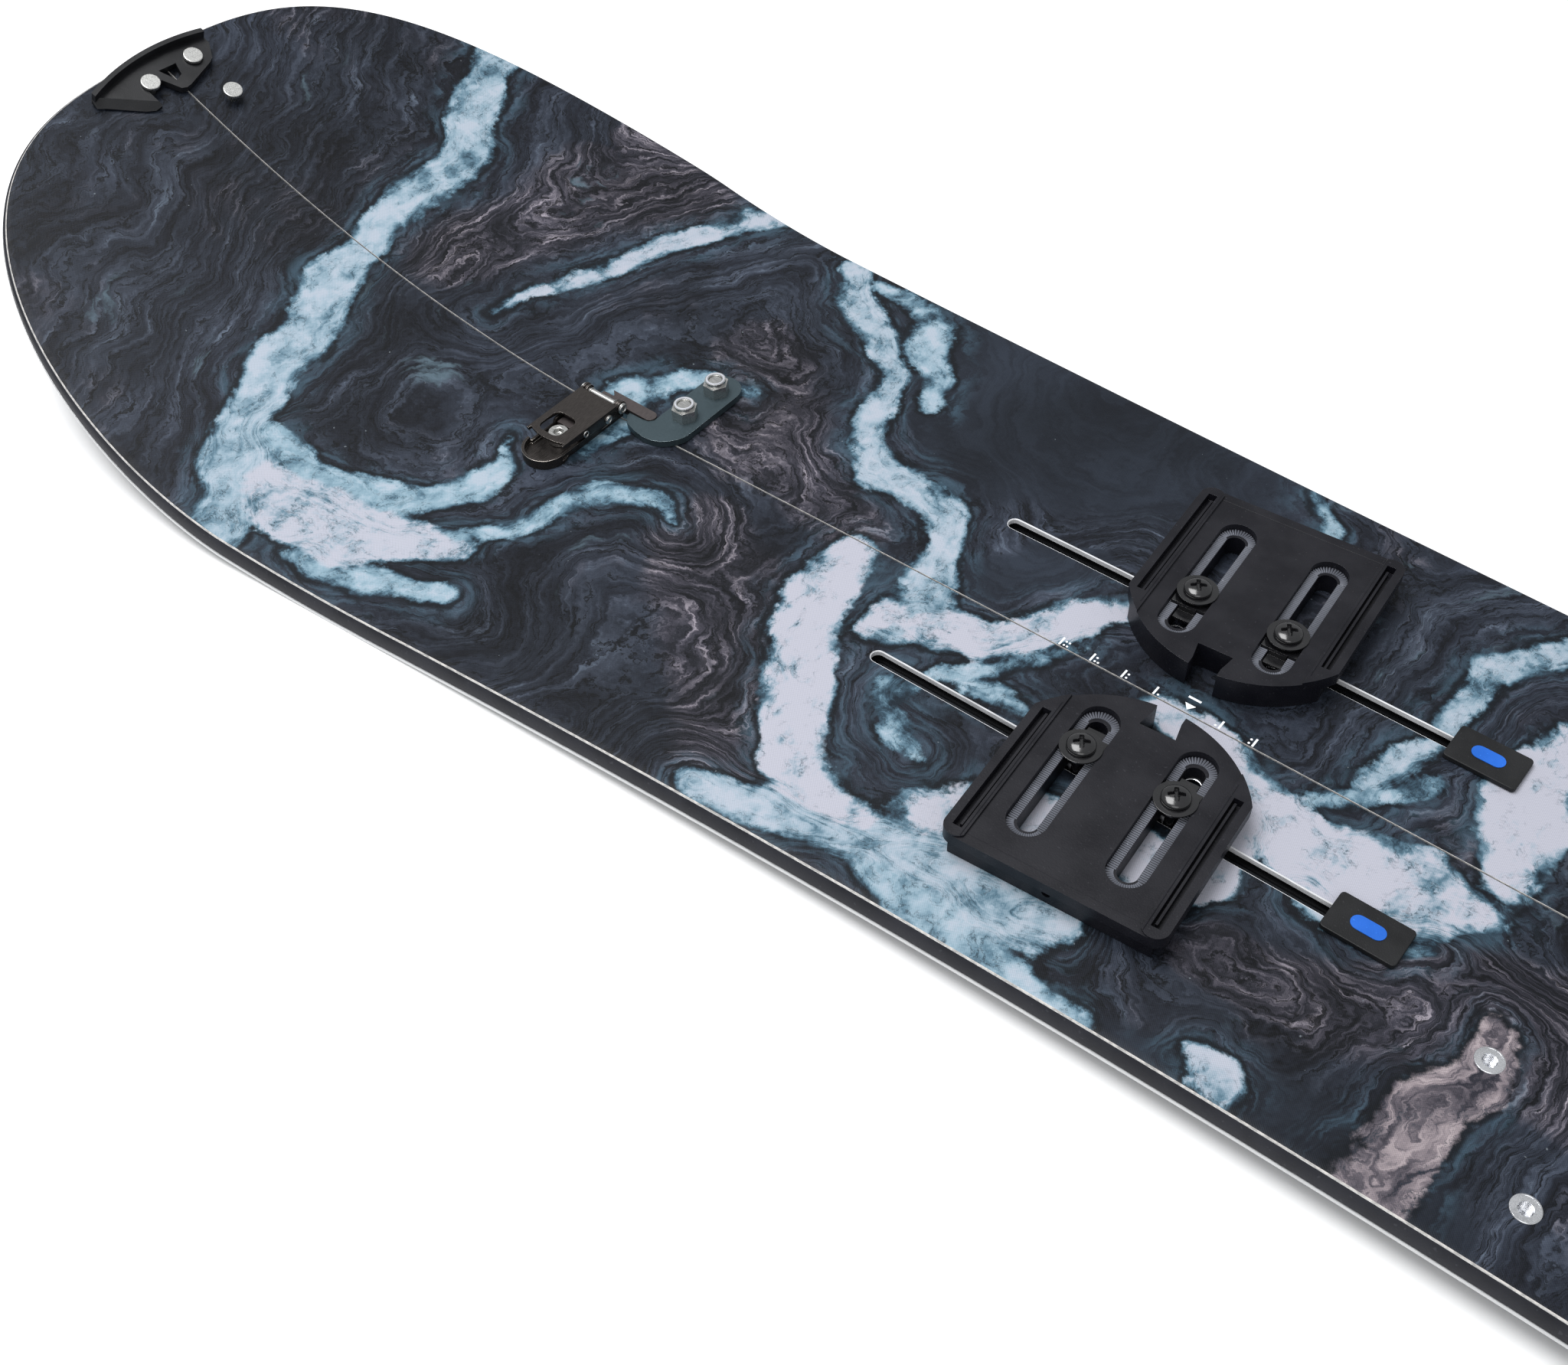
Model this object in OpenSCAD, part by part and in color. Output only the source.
// Splitboard: two board halves that part along the middle, held together by a
// hook clip at each tip and two draw latches, with binding pucks in channels.
// +X points to the nose, +Y to the half that carries the latches, +Z up.

/* [Board outline] */
// Overall length, nose tip to tail tip
board_len = 1620; // [1400:10:1800]
// Width at the waist, across the steel edges
waist_w = 260; // [240:1:280]
// Distance of the waist behind the middle of the board
waist_back = 70; // [20:1:90]
// Sidecut radius
sidecut_r = 7093; // [6000:10:9000]
// Length of the rounded nose, back from the tip
nose_len = 222; // [180:1:260]
// Length of the rounded tail, forward from its tip
tail_len = 170; // [120:1:220]

/* [Board profile] */
// Thickness between the tips
board_t = 9; // [7:0.1:11]
// Thickness at the tips
tip_t = 6; // [4:0.1:7]
// Height of the camber arch
camber = 11; // [2:0.5:14]
// Where the nose starts to rise
nose_rise_x = 502; // [460:1:540]
// Where the tail starts to rise
tail_rise_x = -552; // [-600:1:-500]
// Radius of the rising nose
nose_r = 565; // [450:5:800]
// Radius of the rising tail
tail_r = 560; // [450:5:800]

/* [Layers] */
// Height of the steel edges and the base laminate
edge_h = 1.9; // [1.4:0.1:2.4]
// Width of the steel edges
edge_w = 2; // [1.6:0.1:2.6]
// Thickness of the topsheet laminate
topsheet_t = 0.8; // [0.5:0.1:1.2]
// How far the sidewall leans in from bottom to top
wall_lean = 2.5; // [1:0.1:4]
// Width of the outer sidewall
wall_w = 8; // [5:0.5:12]
// Width of the inner sidewall along the seam
inner_wall_w = 4; // [3:0.5:6]
// Gap between the two halves
seam_gap = 0.5; // [0.3:0.1:1]

/* [Binding channels] */
// Distance of a channel from the seam
channel_y = 45.6; // [40:0.1:60]
// Front end of the front channel
channel_front = 344; // [320:1:360]
// Rear end of the front channel, under its plug
channel_back = 128; // [110:1:150]
// Width of the slot in the deck
slot_w = 6.4; // [5.5:0.1:8]

/* [Pucks] */
// Where the front stance line crosses the seam
stance_x = 237; // [200:1:260]
// Distance between the two stance lines
stance_w = 540; // [480:5:620]
// Turn of the pucks from straight across
stance_angle = 4.3; // [0:0.1:15]
// Width of a puck
puck_w = 84; // [76:1:90]
// Length of a puck
puck_l = 90; // [80:1:100]
// Height of a puck
puck_h = 11.6; // [9:0.1:14]

/* [Latches and clips] */
// Front latch centre
latch_x = 523; // [480:1:560]
// Rear latch centre
rear_latch_x = -573; // [-600:1:-540]
// Distance of the clip pivots from the middle of the board
clip_x = 794.7; // [780:0.1:798]

/* [Hidden] */
$fn = 96;
half_len = board_len / 2;
waist_x = -waist_back;
nose_x = half_len - nose_len;
tail_x = -half_len + tail_len;
stance_mid = stance_x - stance_w / 2;
rear_stance_x = stance_x - stance_w;
seam = seam_gap / 2;
arch_mid = (nose_rise_x + tail_rise_x) / 2;
arch_half = (nose_rise_x - tail_rise_x) / 2;
arch_slope = 2 * camber / arch_half;
floor_lift = pow(arch_slope, 2) * max(nose_r, tail_r) / 2;
taper_x = 600;
puck_lift = 0.35;
puck_rail_h = 0.9;
puck_rail_u = 33;
puck_near = 12.3;
puck_screw_u = 18.9;
rail_t = 1.5;
rail_w = 15;
rail_top = board_t - topsheet_t;
rail_floor = edge_h + 0.1;

// ---- shape of the board -------------------------------------------------

// Height of the base above the floor.
function rise(u, r) = u * u / (2 * r) - arch_slope * u;
function base_z(x) = floor_lift + (
  x > nose_rise_x ? rise(x - nose_rise_x, nose_r)
  : x < tail_rise_x ? rise(tail_rise_x - x, tail_r)
  : camber * (1 - pow((x - arch_mid) / arch_half, 2)));
function thickness(x) = board_t
  - (board_t - tip_t) * max(0, abs(x) - taper_x) / (half_len - taper_x);
function deck_z(x) = base_z(x) + thickness(x);
function deck_pitch(x) = atan(deck_z(x + 0.5) - deck_z(x - 0.5));

// Half width of the outline, set in by a margin all round.
function nose_round(t) = pow(max(0, 1 - pow(t, 1.627)), 1 / 3);
function tail_round(t) = pow(max(0, 1 - pow(t, 1.8)), 1 / 3);
function half_w(x, inset) =
  (waist_w / 2 - inset + pow(x - waist_x, 2) / (2 * sidecut_r))
  * (x > nose_x ? nose_round((x - nose_x) / (nose_len - inset))
     : x < tail_x ? tail_round((tail_x - x) / (tail_len - inset)) : 1);

side_steps = 22;
tip_steps = 20;
// Stations along the board, closer together towards both tips.
function stations(inset) = concat(
  [for (i = [1 : tip_steps]) tail_x - (tail_len - inset) * cos(i * 90 / tip_steps)],
  [for (i = [1 : side_steps - 1]) tail_x + (nose_x - tail_x) * i / side_steps],
  [for (i = [0 : tip_steps - 1]) nose_x + (nose_len - inset) * sin(i * 90 / tip_steps)]);

// Plan of one half, from its seam side out to the outline.
module half_plan(inset, seam_side) {
  ends = half_len - inset;
  polygon(concat([[-ends, seam_side]],
    [for (x = stations(inset)) if (half_w(x, inset) > seam_side + 0.5)
      [x, half_w(x, inset)]],
    [[ends, seam_side]]));
}

// Slice of the board between two heights; each height is a share of the
// thickness plus an offset, so a slice follows both the camber and the taper.
profile_step = 24;
module slice(low, low_share, high, high_share, from_x, to_x, y0, y1) {
  n = ceil((to_x - from_x) / profile_step);
  xs = [for (i = [0 : n]) from_x + (to_x - from_x) * i / n];
  translate([0, y1, 0]) rotate([90, 0, 0]) linear_extrude(height = y1 - y0)
    polygon(concat(
      [for (x = xs) [x, base_z(x) + low + low_share * thickness(x)]],
      [for (i = [n : -1 : 0]) [xs[i], base_z(xs[i]) + high + high_share * thickness(xs[i])]]));
}

module full_slice(low, low_share, high, high_share)
  slice(low, low_share, high, high_share, -half_len - 1, half_len + 1, -1, 200);

module plan_prism(inset, seam_side)
  translate([0, 0, -5]) linear_extrude(height = 120) half_plan(inset, seam_side);

// The far half is the near half mirrored across the seam.
module on_side(side) mirror([0, side == "far" ? 1 : 0, 0]) children();

// Puts a part on the deck at x and y, tilted with the deck.
module on_deck(x, y) translate([x, y, deck_z(x)]) rotate([0, -deck_pitch(x), 0]) children();

// Front parts stand as drawn; rear parts are mirrored end for end.
module ended(front) mirror([front ? 0 : 1, 0, 0]) children();

// ---- holes through the deck ---------------------------------------------

insert_spots = [[89.6, 65], [60.7, 26], [60.7, 104], [-150, 52], [-150, 78]];
insert_r = 4.8;
insert_bore = 2.5;
insert_floor = 4.2;
insert_base = 1.2;
hole_low = 4;
hole_high = 40;
hook_bolt_x = -33.8;
hook_bolts_y = [-14.2, -34.8];
hook_bolt_r = 3;
latch_screw_y = 28.6;
latch_screw_r = 2.5;
clip_y = -12.7;
catch_pin = [-2.2, 26.6];
stow_pin = [-25.2, -1.9];
pin_r = 2.4;
pin_head_r = 4.5;
pin_depth = 3;
bolt_depth = 5;

function channel_ends(front) = front ? [channel_back, channel_front]
  : [2 * stance_mid - channel_front, 2 * stance_mid - channel_back];

// Long slot with round ends along X, from z = 0 up.
module slot_prism(x0, x1, w, h) {
  translate([x0, -w / 2, 0]) cube([x1 - x0, w, h]);
  for (x = [x0, x1]) translate([x, 0, 0]) cylinder(r = w / 2, h = h);
}

module channel_slots()
  for (front = [true, false]) {
    ends = channel_ends(front);
    translate([0, channel_y, hole_low])
      slot_prism(ends[0] + slot_w / 2, ends[1] - slot_w / 2, slot_w, hole_high);
  }

module insert_holes()
  for (spot = insert_spots) translate([spot[0], spot[1], hole_low])
    cylinder(r = insert_r, h = hole_high);

// Straight holes for the hardware of one half, drawn on its true side.
module hardware_holes(side) {
  for (front = [true, false])
    on_deck(front ? clip_x : -clip_x, clip_y) ended(front)
      for (p = side == "far" ? [[0, 0], stow_pin] : [catch_pin])
        translate([p[0], p[1], -pin_depth]) cylinder(r = pin_r, h = pin_depth + 7);
  for (front = [true, false])
    if (side == "far")
      for (y = hook_bolts_y) plate_at(front)
        translate([hook_bolt_x, y, -bolt_depth]) cylinder(r = hook_bolt_r, h = bolt_depth + 7);
    else
      latch_at(front) translate([0, latch_screw_y, -bolt_depth])
        cylinder(r = latch_screw_r, h = bolt_depth + 7);
}

module deck_holes(side) {
  on_side(side) channel_slots();
  on_side(side) insert_holes();
  hardware_holes(side);
}

// ---- layers of one half -------------------------------------------------

module topsheet(side) difference() {
  on_side(side) intersection() {
    full_slice(-topsheet_t, 1, 0, 1);
    plan_prism(wall_lean, seam);
  }
  deck_holes(side);
}

module rail_pockets()
  for (front = [true, false]) {
    ends = channel_ends(front);
    slice(edge_h - 0.5, 0, rail_top + 1, 0, ends[0] - rail_w / 2, ends[1] + rail_w / 2,
      channel_y - rail_w / 2, channel_y + rail_w / 2);
  }

// Glue lines beside the rails part the core into stringers and filler blocks;
// two across it set off the spacers in the nose and the tail.
glue = 0.04;
spacer_back = 32;
spacer_xs = [nose_rise_x - spacer_back, tail_rise_x + spacer_back];
board_h = 130;
module glue_lines() {
  for (y = [channel_y - rail_w / 2, channel_y + rail_w / 2])
    translate([-half_len, y - glue / 2, 0]) cube([board_len, glue, board_h]);
  for (x = spacer_xs) translate([x - glue / 2, 0, 0]) cube([glue, waist_w, board_h]);
}

module core(side) difference() {
  on_side(side) difference() {
    intersection() {
      full_slice(edge_h, 0, -topsheet_t, 1);
      plan_prism(wall_w, seam + inner_wall_w);
    }
    rail_pockets();
    glue_lines();
  }
  hardware_holes(side);
  on_side(side) insert_holes();
}

module base_sheet(side) on_side(side) intersection() {
  full_slice(0, 0, edge_h, 0);
  plan_prism(edge_w, seam + edge_w);
}

module outer_edge(side) on_side(side) intersection() {
  full_slice(0, 0, edge_h, 0);
  difference() {
    plan_prism(0, seam);
    translate([0, 0, -1]) plan_prism(edge_w, seam - 1);
  }
}

module inner_edge(side) on_side(side) intersection() {
  full_slice(0, 0, edge_h, 0);
  plan_prism(edge_w, seam);
  translate([-half_len, 0, -5]) cube([board_len, seam + edge_w, board_h]);
}

// The sidewall leans in with a step at a share of its height.
wall_step = 0.6;
wall_low_lean = wall_lean / 4;
wall_high_lean = wall_lean * 0.8;
module sidewall(side) difference() {
  on_side(side) difference() {
    union() {
      intersection() {
        full_slice(edge_h, 0, -topsheet_t, wall_step);
        plan_prism(wall_low_lean, seam);
      }
      intersection() {
        full_slice(-topsheet_t, wall_step, -topsheet_t, 1);
        plan_prism(wall_high_lean, seam);
      }
    }
    translate([0, 0, -1]) plan_prism(wall_w, seam + inner_wall_w);
  }
  hardware_holes(side);
}

// Each rail is a metal box open along its slot, a hair shorter than its pocket.
rail_play = 0.01;
rail_sole = 1;
module channels(side) on_side(side)
  for (front = [true, false]) {
    ends = channel_ends(front);
    x0 = ends[0] - rail_w / 2 + rail_play;
    x1 = ends[1] + rail_w / 2 - rail_play;
    y0 = channel_y - rail_w / 2;
    y1 = channel_y + rail_w / 2;
    difference() {
      slice(rail_floor, 0, rail_top, 0, x0, x1, y0, y1);
      slice(rail_floor + rail_sole, 0, rail_top - rail_t, 0, x0 + rail_t, x1 - rail_t,
        y0 + rail_t, y1 - rail_t);
      channel_slots();
    }
  }

module inserts(side) on_side(side)
  for (spot = insert_spots) {
    z0 = base_z(spot[0]) + insert_floor;
    z1 = deck_z(spot[0]);
    translate([spot[0], spot[1], 0]) difference() {
      translate([0, 0, z0 - insert_base]) cylinder(r = insert_r, h = z1 - z0 + insert_base);
      translate([0, 0, z0]) cylinder(r = insert_bore, h = hole_high);
    }
  }

// ---- hook plate, its bolts and nuts ---------------------------------------

// Local frame: the latch's centre on the seam, +X towards the tip, +Y near.
// The plate lies flat on the stretch of deck under its own bolts.
plate_t = 3;
plate_r = 9.1;
plate_end_y = -37.4;
plate_root_y = -7.4;
hook_outline = [
  [hook_bolt_x - plate_r, -8], [-42.5, -3.6], [-41, -0.4], [-38.8, 2.3], [-36, 4.6],
  [-32.5, 6.1], [-28, 6.6], [-22, 5.6], [-16.6, 3.7], [-14.2, 1.8], [-12.9, -0.4],
  [-12.8, -2], [-20, -2], [-23, -2.5], [hook_bolt_x + plate_r, -4.6],
  [hook_bolt_x + plate_r, -8]
];
bolt_above = 6.6;
nut_r = 5.77;
nut_h = 5.4;
nut_collar_r = 4.5;
nut_collar_h = 7.2;
seat_lift = 0.25;
module plate_at(front)
  on_deck(front ? latch_x + hook_bolt_x : rear_latch_x - hook_bolt_x, 0) ended(front)
    translate([-hook_bolt_x, 0, seat_lift]) children();

module hook_plate(front) plate_at(front) difference() {
  union() {
    translate([hook_bolt_x - plate_r, plate_end_y, 0])
      cube([2 * plate_r, plate_root_y - plate_end_y, plate_t]);
    translate([hook_bolt_x, plate_end_y, 0]) cylinder(r = plate_r, h = plate_t);
    linear_extrude(height = plate_t) polygon(hook_outline);
  }
  for (y = hook_bolts_y) translate([hook_bolt_x, y, -1]) cylinder(r = hook_bolt_r, h = plate_t + 2);
}

module hook_plate_bolts()
  for (front = [true, false], y = hook_bolts_y) plate_at(front)
    translate([hook_bolt_x, y, -bolt_depth])
      cylinder(r = hook_bolt_r, h = bolt_depth + plate_t + bolt_above);

module hook_plate_nuts()
  for (front = [true, false], y = hook_bolts_y) plate_at(front)
    translate([hook_bolt_x, y, plate_t]) difference() {
      union() {
        cylinder(r = nut_r, h = nut_h, $fn = 6);
        cylinder(r = nut_collar_r, h = nut_collar_h);
      }
      translate([0, 0, -1]) cylinder(r = hook_bolt_r, h = 10);
    }

// ---- draw latch -----------------------------------------------------------

// The bar is the lever's pivot; the link joins the lever to the sliding claw.
bar_y = 0.6;
bar_z = 6.5;
bar_r = 1.6;
link_top_y = 9;
link_top_z = 5.8;
link_end_y = 22.2;
link_end_z = 4.9;
link_r = 2.2;
link_t = 1.2;
link_x = [-7.4, 6.2];
rivet_r = 1.3;
base_t = 1.5;
base_half_w = 9.1;
base_y0 = 4;
base_y1 = 37;
base_end_r = 10;
base_lip_t = 1.2;
ear_t = 1.2;
ear_r = 2.8;
lever_half_w = 10.5;
cheek_t = 1.1;
lever_z = 8.2;
lever_t = 1.1;

module latch_at(front) on_deck(front ? latch_x : rear_latch_x, 0) ended(front)
  translate([0, 0, seat_lift]) children();

// Disc whose axis runs along X, between x0 and x1.
module x_disc(x0, x1, y, z, r) translate([x0, y, z]) rotate([0, 90, 0]) cylinder(r = r, h = x1 - x0);

module latch_base(front) latch_at(front) difference() {
  union() {
    translate([-base_half_w, base_y0, 0]) cube([2 * base_half_w, base_y1 - base_y0, base_t]);
    translate([0, base_y1, 0]) cylinder(r = base_end_r, h = base_t);
    // upright rim round the end
    difference() {
      translate([0, base_y1, 0]) cylinder(r = base_end_r, h = 4.6);
      translate([0, base_y1, -1]) cylinder(r = base_end_r - base_lip_t, h = 8);
      translate([-15, base_y1 - 17, -1]) cube([30, 17, 8]);
    }
    for (s = [-1, 1]) {
      x0 = s > 0 ? base_half_w - ear_t : -base_half_w;
      // low side rail, then the ear that carries the bar
      translate([x0, 12, 0]) cube([ear_t, base_y1 - 12, 3.2]);
      difference() {
        union() {
          x_disc(x0, x0 + ear_t, bar_y, bar_z, ear_r);
          translate([x0, bar_y - ear_r, 2]) cube([ear_t, 2 * ear_r, bar_z - 2]);
          translate([x0, bar_y - 2.1, 0]) cube([ear_t, 8, 4]);
        }
        x_disc(x0 - 1, x0 + 3, bar_y, bar_z, bar_r);
      }
    }
  }
  translate([0, latch_screw_y, -1]) cylinder(r = latch_screw_r, h = 4);
}

module latch_bar(front) latch_at(front) {
  x_disc(-11.4, 11.4, bar_y, bar_z, bar_r);
  for (x = [-11.5, 10.7]) x_disc(x, x + 0.8, bar_y, bar_z, 2.5);
}

module latch_screw(front) latch_at(front) translate([0, latch_screw_y, 0]) difference() {
  union() {
    translate([0, 0, -bolt_depth]) cylinder(r = latch_screw_r, h = bolt_depth + 2);
    translate([0, 0, base_t]) cylinder(r = 4.4, h = 5.4);
  }
  translate([0, 0, 4.8]) cylinder(r = 2.2, h = 4, $fn = 6);
}

// Cheek outline in the (y, z) plane.
module cheek_shape() difference() {
  union() {
    translate([bar_y, bar_z]) circle(r = 3);
    polygon([[bar_y - 2.4, 4.8], [bar_y, 3.6], [12, 3.7], [26, 6], [36.5, 7.9],
      [36.5, 9.3], [2.6, 9.3], [bar_y - 2, 8.4]]);
  }
  translate([bar_y, bar_z]) circle(r = bar_r + 0.05);
}

// Window over the fixing screw, a rectangle with rounded corners.
module lever_window() translate([0, 0, 7]) {
  translate([-4.6, 24, 0]) cube([12, 6.4, 4]);
  translate([-1.2, 20.6, 0]) cube([5.2, 13.2, 4]);
  for (x = [-1.2, 4], y = [24, 30.4]) translate([x, y, 0]) cylinder(r = 3.4, h = 4);
}

module latch_lever(front) latch_at(front) difference() {
  union() {
    for (x = [-lever_half_w, lever_half_w - cheek_t])
      translate([x, 0, 0]) rotate([90, 0, 90]) linear_extrude(height = cheek_t) cheek_shape();
    translate([1 - lever_half_w, 3.4, lever_z]) cube([2 * lever_half_w - 2, 30.2, lever_t]);
    // rounded free end
    intersection() {
      translate([1 - lever_half_w, 33, lever_z]) cube([2 * lever_half_w - 2, 4, lever_t]);
      translate([0, 12, lever_z - 0.2]) cylinder(r = 24.8, h = 2);
    }
  }
  lever_window();
  x_disc(-12, 12, link_top_y, link_top_z, rivet_r);
}

// Shank, then the head outside the cheek.
module latch_rivets(front) latch_at(front) {
  for (x = [-10.9, 6.2]) x_disc(x, x + 4.7, link_top_y, link_top_z, rivet_r);
  for (x = [-11.1, lever_half_w]) x_disc(x, x + 0.6, link_top_y, link_top_z, 2);
}

module latch_link(front) latch_at(front) for (x = link_x) difference() {
  union() {
    x_disc(x, x + link_t, link_top_y, link_top_z, link_r);
    x_disc(x, x + link_t, link_end_y, link_end_z, link_r);
    translate([x, 0, 0]) rotate([90, 0, 90]) linear_extrude(height = link_t) polygon([
      [link_top_y, link_top_z - 2.1], [link_end_y, link_end_z - 2.1],
      [link_end_y, link_end_z + 2.1], [link_top_y, link_top_z + 2.1]]);
    x_disc(x < 0 ? x - 0.3 : x, x < 0 ? x + link_t : x + 1.5, link_end_y, link_end_z, 1.4);
  }
  x_disc(x - 1, x + 2, link_top_y, link_top_z, rivet_r + 0.05);
}

// Tongue under the lever, crossbar for the link, and the arm that takes the hook.
claw_half_w = 5.5;
claw_arm_w = 5.8;
claw_arm_x = -21.4;
claw_arm_y = -8.2;
module latch_claw(front) latch_at(front) {
  translate([-claw_half_w, -5.4, 1.9]) cube([2 * claw_half_w, 29, 2]);
  translate([-claw_half_w, 19, 3.8]) cube([2 * claw_half_w, 4.6, 2.2]);
  difference() {
    union() {
      translate([claw_arm_x, claw_arm_y, 0.8]) cube([claw_half_w - claw_arm_x, claw_arm_w, 3.2]);
      translate([claw_arm_x, claw_arm_y + claw_arm_w / 2, 0.8])
        cylinder(r = claw_arm_w / 2, h = 3.2);
    }
    translate([4, -10, 0]) rotate([0, 0, 45]) cube(6);
  }
}

// ---- tip clip and pins ------------------------------------------------------

// Local frame: the pivot on the deck, +X towards the tip, +Y near.
clip_floor = 1;
clip_top = 4.2;
rim_top = 8.4;
rim_r = 110;
rim_t = 2.3;
rim_mid = [-97.8, 14.5];
clip_far = -12.2;
clip_near = 54;
clip_turn = 80;
part_travel = 12.5;
pin_play = 0.4;
clip_outline = [
  [3, clip_far], [14, clip_far], [14, clip_near], [1.2, clip_near], [-1, 50.5], [-11.3, 37],
  [-13.6, 33], [-13.9, 29.5], [-13, 26.7], [-11.2, 16.2], [-12.1, 13.6], [-11.7, 11.1],
  [-6.3, -4.7], [-4.7, -7.5]
];
clip_window = [[2, 18.5], [1.5, 8.9], [-4.8, 10.9], [-6.4, 14.8]];
slot_inner_wall = [[-16, 13.5], [-11.2, 16.2], [-3.1, 20.7], [-2.2, 23.8]];

module clip_at(front) on_deck(front ? clip_x : -clip_x, clip_y) ended(front) children();

// Cylinder about the middle of the rim's arc.
module rim_disc(r, z, h) translate([rim_mid[0], rim_mid[1], z]) cylinder(r = r, h = h, $fn = 240);

// Outer wall of the hook slot: the catch pin's outer side as the clip turns and
// the near half moves away with it.
function pin_at(turn) = catch_pin + [0, part_travel * turn / clip_turn];
function slot_wall(turn) = let (
    p = pin_at(turn),
    r = norm(p) + pin_r + pin_play,
    a = atan2(p[1], p[0]) + turn)
  [r * cos(a), r * sin(a)];

// Plan with the hook slot, which the catch pin leaves towards -X, and a window.
module clip_plan() difference() {
  polygon(clip_outline);
  polygon(concat([for (turn = [0 : 5 : 30]) slot_wall(turn)], slot_inner_wall));
  translate(catch_pin) circle(r = pin_r + pin_play);
  polygon(clip_window);
}

module clip(front) clip_at(front) difference() {
  intersection() {
    union() {
      translate([0, 0, clip_floor]) linear_extrude(height = clip_top - clip_floor) clip_plan();
      difference() {
        rim_disc(rim_r, clip_floor, rim_top - clip_floor);
        rim_disc(rim_r - rim_t, 0, 20);
      }
    }
    rim_disc(rim_r, 0, 20);
    translate([-20, clip_far, 0]) cube([40, clip_near - clip_far, 20]);
  }
  translate([0, 0, -1]) cylinder(r = pin_r + 0.05, h = 12);
  // bevel along the thumb end
  translate([-13.9, 27, 0]) rotate([0, 0, 53.5]) rotate([90, 0, 90]) linear_extrude(height = 34)
    polygon([[0, clip_top], [3.9, clip_floor], [9, clip_floor], [9, clip_top + 0.01],
      [0, clip_top + 0.01]]);
}

// Stem with a flat head just above the clip.
head_gap = 0.3;
module clip_pin(x, y) translate([x, y, 0]) {
  translate([0, 0, -pin_depth]) cylinder(r = pin_r, h = pin_depth + clip_top + head_gap + 0.5);
  translate([0, 0, clip_top + head_gap]) cylinder(r = pin_head_r, h = 1.7);
}

module clip_pins(side)
  for (front = [true, false]) clip_at(front)
    if (side == "far") {
      clip_pin(0, 0);
      clip_pin(stow_pin[0], stow_pin[1]);
    } else
      clip_pin(catch_pin[0], catch_pin[1]);

// ---- pucks ------------------------------------------------------------------

// Local frame: +Y runs outward from the seam along the stance line, the origin
// is where that line crosses the seam, z = 0 is the deck under the puck.
module puck_at(front, side) {
  x = front ? stance_x : rear_stance_x;
  on_deck(x, 0) rotate([0, 0, stance_angle + (side == "far" ? 180 : 0)]) children();
}

module puck_slot(w, v0, v1, z, h) for (u = [-puck_screw_u, puck_screw_u]) {
  translate([u - w / 2, v0 + w / 2, z]) cube([w, v1 - v0 - w, h]);
  for (v = [v0 + w / 2, v1 - w / 2]) translate([u, v, z]) cylinder(r = w / 2, h = h);
}

// Rounded end near the seam, straight sides and a flat outer face.
module puck_block(w, z, h) intersection() {
  translate([0, puck_near + 48, z]) cylinder(r = round_r, h = h);
  translate([-w / 2, puck_near - 1, z]) cube([w, 49, h]);
}

// A skirt carries a wider flange on top; both end square at the outer face.
round_r = 48.4;
mid_v = puck_near + 40;
outer_v = puck_near + puck_l;
flange_h = 4.6;
skirt_w = puck_w - 7;
skirt_back = 1.2;
corner = 5;
overlap = 0.1;
module puck_body() {
  puck_block(skirt_w, puck_lift, puck_h - puck_lift);
  puck_block(puck_w, puck_h - flange_h, flange_h);
  translate([-skirt_w / 2, mid_v, puck_lift])
    cube([skirt_w, outer_v - mid_v - skirt_back, puck_h - puck_lift]);
  translate([-puck_w / 2, mid_v, puck_h - flange_h])
    cube([puck_w, outer_v - mid_v - corner, flange_h]);
  translate([-puck_w / 2 + corner, mid_v, puck_h - flange_h])
    cube([puck_w - 2 * corner, outer_v - mid_v, flange_h]);
  for (s = [-1, 1]) translate([s * (puck_w / 2 - corner), outer_v - corner, puck_h - flange_h])
    cylinder(r = corner, h = flange_h);
  // raised rails along both sides
  difference() {
    union() {
      puck_block(puck_w, puck_h - overlap, puck_rail_h + overlap);
      translate([-puck_w / 2, mid_v, puck_h - overlap])
        cube([puck_w, outer_v - mid_v - corner, puck_rail_h + overlap]);
      for (s = [-1, 1]) translate([s * (puck_w / 2 - corner), outer_v - corner, puck_h - overlap])
        cylinder(r = corner, h = puck_rail_h + overlap);
    }
    translate([-puck_rail_u, 0, puck_h - 1]) cube([2 * puck_rail_u, 120, 4]);
  }
}

ledge_w = 14.8;
ledge_depth = 3;
through_w = 7.6;
groove_w = 3.6;
groove_u = 37;
notch = [
  [-5.6, puck_near - 2], [5.6, puck_near - 2], [5.6, puck_near + 3.5],
  [7, puck_near + 11], [-7, puck_near + 11], [-5.6, puck_near + 3.5]
];
module puck(front, side) puck_at(front, side) difference() {
  puck_body();
  puck_slot(ledge_w, 23, 89.4, puck_h - ledge_depth, 5);
  puck_slot(through_w, 28, 85, -1, 20);
  // side grooves
  for (s = [-1, 1]) translate([s * groove_u - groove_w / 2, 36, puck_h - 2.6])
    cube([groove_w, 62, 6]);
  // dovetail notch in the rounded end
  translate([0, 0, -1]) linear_extrude(height = 20) polygon(notch);
  // dimple in the outer face
  translate([0.6, outer_v - 3, 5]) rotate([-90, 0, 0]) cylinder(r = 1.6, h = 6);
}

// Screw places: both screws of a puck stand on its channel.
function screw_v(u) = channel_y / cos(stance_angle) - u * tan(stance_angle);
module at_screws(front, side) puck_at(front, side) for (u = [-puck_screw_u, puck_screw_u])
  translate([u, screw_v(u), 0]) children();

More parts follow.
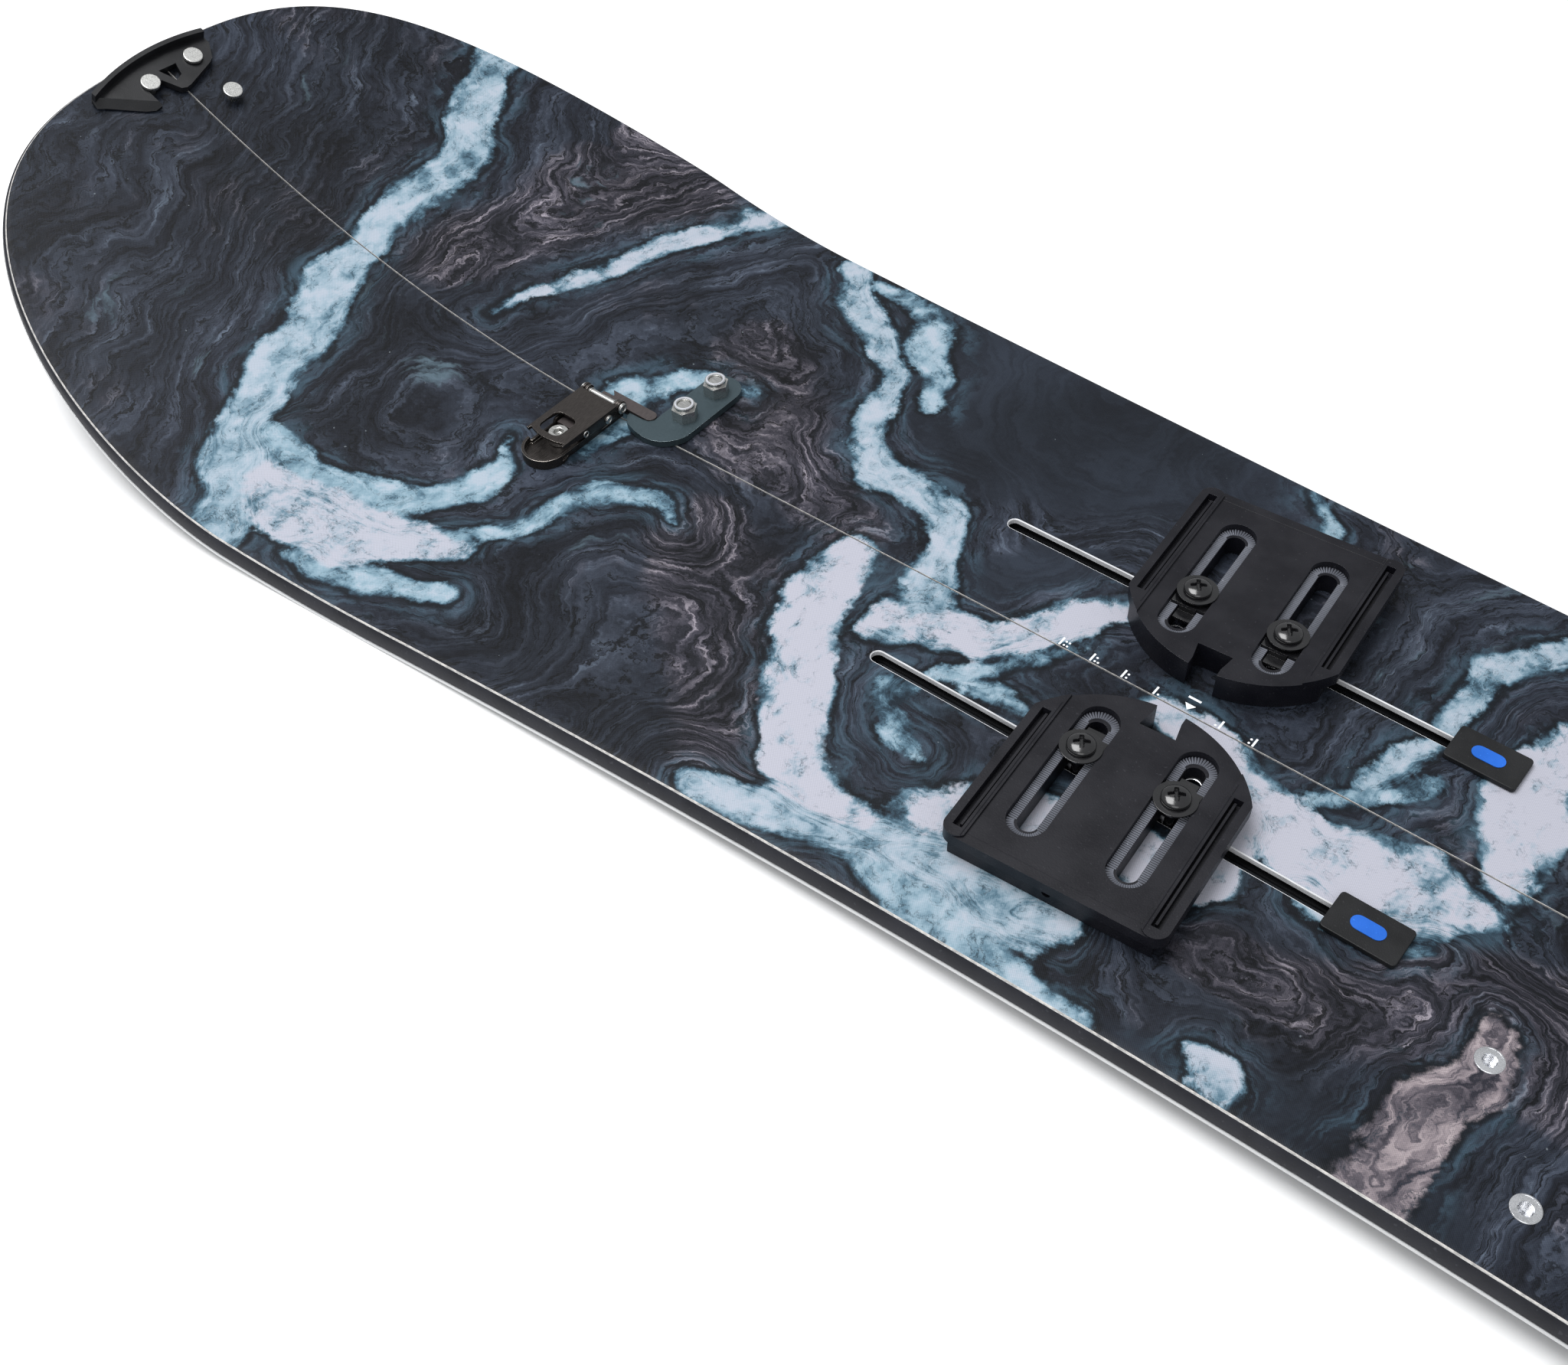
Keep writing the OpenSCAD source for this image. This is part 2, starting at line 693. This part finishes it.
// Pan head with a cross recess; the toothed washer under it bears on the ledges.
washer_z = puck_h + 0.05;
head_z = washer_z + 0.7;
shank_r = 2.45;
shank_low = -4.6;
module puck_screws(front, side) at_screws(front, side) difference() {
  union() {
    translate([0, 0, shank_low]) cylinder(r = shank_r, h = head_z + 5);
    translate([0, 0, head_z]) cylinder(r = 5.2, h = 1.4);
    translate([0, 0, head_z + 1.3]) cylinder(r1 = 5.1, r2 = 3.4, h = 1.1);
  }
  for (a = [30, 120]) rotate([0, 0, a]) translate([-2.6, -0.6, head_z + 0.9])
    cube([5.2, 1.2, 3]);
}

ledge_z = puck_h - ledge_depth;
tab_z = puck_h - 5.2;
tab_w = 7;
module puck_washers(front, side) at_screws(front, side) difference() {
  union() {
    translate([0, 0, washer_z]) cylinder(r = 7.8, h = 0.65);
    translate([0, 0, ledge_z]) cylinder(r = 5.6, h = 3.2);
    translate([-tab_w / 2, -13, tab_z]) cube([tab_w, 13, 1.2]);
    translate([-6.9, -7.6, ledge_z]) cube([13.8, 8, 1.4]);
    translate([-tab_w / 2, -8.6, tab_z]) cube([tab_w, 6, 3.4]);
  }
  cylinder(r = shank_r + 0.05, h = 20);
}

nut_z = -(board_t - rail_floor - rail_sole) + 0.4;
nut_l = 16;
nut_w = 9.2;
module puck_nuts(front, side) at_screws(front, side) rotate([0, 0, -stance_angle]) difference() {
  translate([-nut_l / 2, -nut_w / 2, nut_z]) cube([nut_l, nut_w, 2.5]);
  translate([0, 0, nut_z - 1]) cylinder(r = shank_r, h = 6);
}

// ---- channel plugs ------------------------------------------------------------

// A flat cover with rounded corners over a tongue that fills the slot.
plug_w = 17;
plug_l = 27;
plug_r = 1.6;
plug_in = 13;
tongue_l = 16;
tongue_w = 5.6;
module plug(front, side) {
  x = front ? channel_back + plug_in : 2 * stance_mid - channel_back - plug_in;
  on_deck(x, side == "far" ? -channel_y : channel_y) {
    difference() {
      translate([-plug_l / 2, -plug_w / 2, 0.3]) cube([plug_l, plug_w, 2]);
      for (u = [-1, 1], v = [-1, 1]) difference() {
        translate([u * plug_l / 2 - plug_r, v * plug_w / 2 - plug_r, -1])
          cube([2 * plug_r, 2 * plug_r, 5]);
        translate([u * (plug_l / 2 - plug_r), v * (plug_w / 2 - plug_r), -2])
          cylinder(r = plug_r, h = 7);
      }
    }
    translate([-tongue_l / 2, -tongue_w / 2, -1.6]) cube([tongue_l, tongue_w, 2.2]);
  }
}

color("darkslategray") topsheet("far");  // far_topsheet
color("burlywood") core("far");  // far_core
color("black") base_sheet("far");  // far_base_sheet
color("silver") outer_edge("far");  // far_outer_edge
color("silver") inner_edge("far");  // far_inner_edge
color("dimgray") sidewall("far");  // far_sidewall
color("gainsboro") channels("far");  // far_channels
color("lightgray") inserts("far");  // far_inserts
color("darkslategray") topsheet("near");  // near_topsheet
color("burlywood") core("near");  // near_core
color("black") base_sheet("near");  // near_base_sheet
color("silver") outer_edge("near");  // near_outer_edge
color("silver") inner_edge("near");  // near_inner_edge
color("dimgray") sidewall("near");  // near_sidewall
color("gainsboro") channels("near");  // near_channels
color("lightgray") inserts("near");  // near_inserts
color("slategray") hook_plate(true);  // front_hook_plate
color("slategray") hook_plate(false);  // rear_hook_plate
color("silver") hook_plate_bolts();
color("silver") hook_plate_nuts();
color("silver") clip_pins("far");  // far_clip_pins
color("silver") clip_pins("near");  // near_clip_pins
color("black") clip(true);  // nose_clip
color("black") clip(false);  // tail_clip
color("dimgray") latch_base(true);  // front_latch_base
color("silver") latch_bar(true);  // front_latch_bar
color("silver") latch_screw(true);  // front_latch_screw
color("dimgray") latch_lever(true);  // front_latch_lever
color("silver") latch_rivets(true);  // front_latch_rivets
color("gray") latch_link(true);  // front_latch_link
color("rosybrown") latch_claw(true);  // front_latch_claw
color("dimgray") latch_base(false);  // rear_latch_base
color("silver") latch_bar(false);  // rear_latch_bar
color("silver") latch_screw(false);  // rear_latch_screw
color("dimgray") latch_lever(false);  // rear_latch_lever
color("silver") latch_rivets(false);  // rear_latch_rivets
color("gray") latch_link(false);  // rear_latch_link
color("rosybrown") latch_claw(false);  // rear_latch_claw
color("black") puck(true, "far");  // front_far_puck
color("gray") puck_screws(true, "far");  // front_far_screws
color("dimgray") puck_washers(true, "far");  // front_far_washers
color("silver") puck_nuts(true, "far");  // front_far_nuts
color("black") puck(true, "near");  // front_near_puck
color("gray") puck_screws(true, "near");  // front_near_screws
color("dimgray") puck_washers(true, "near");  // front_near_washers
color("silver") puck_nuts(true, "near");  // front_near_nuts
color("black") puck(false, "far");  // rear_far_puck
color("gray") puck_screws(false, "far");  // rear_far_screws
color("dimgray") puck_washers(false, "far");  // rear_far_washers
color("silver") puck_nuts(false, "far");  // rear_far_nuts
color("black") puck(false, "near");  // rear_near_puck
color("gray") puck_screws(false, "near");  // rear_near_screws
color("dimgray") puck_washers(false, "near");  // rear_near_washers
color("silver") puck_nuts(false, "near");  // rear_near_nuts
color("black") plug(true, "far");  // front_far_plug
color("black") plug(true, "near");  // front_near_plug
color("black") plug(false, "far");  // rear_far_plug
color("black") plug(false, "near");  // rear_near_plug
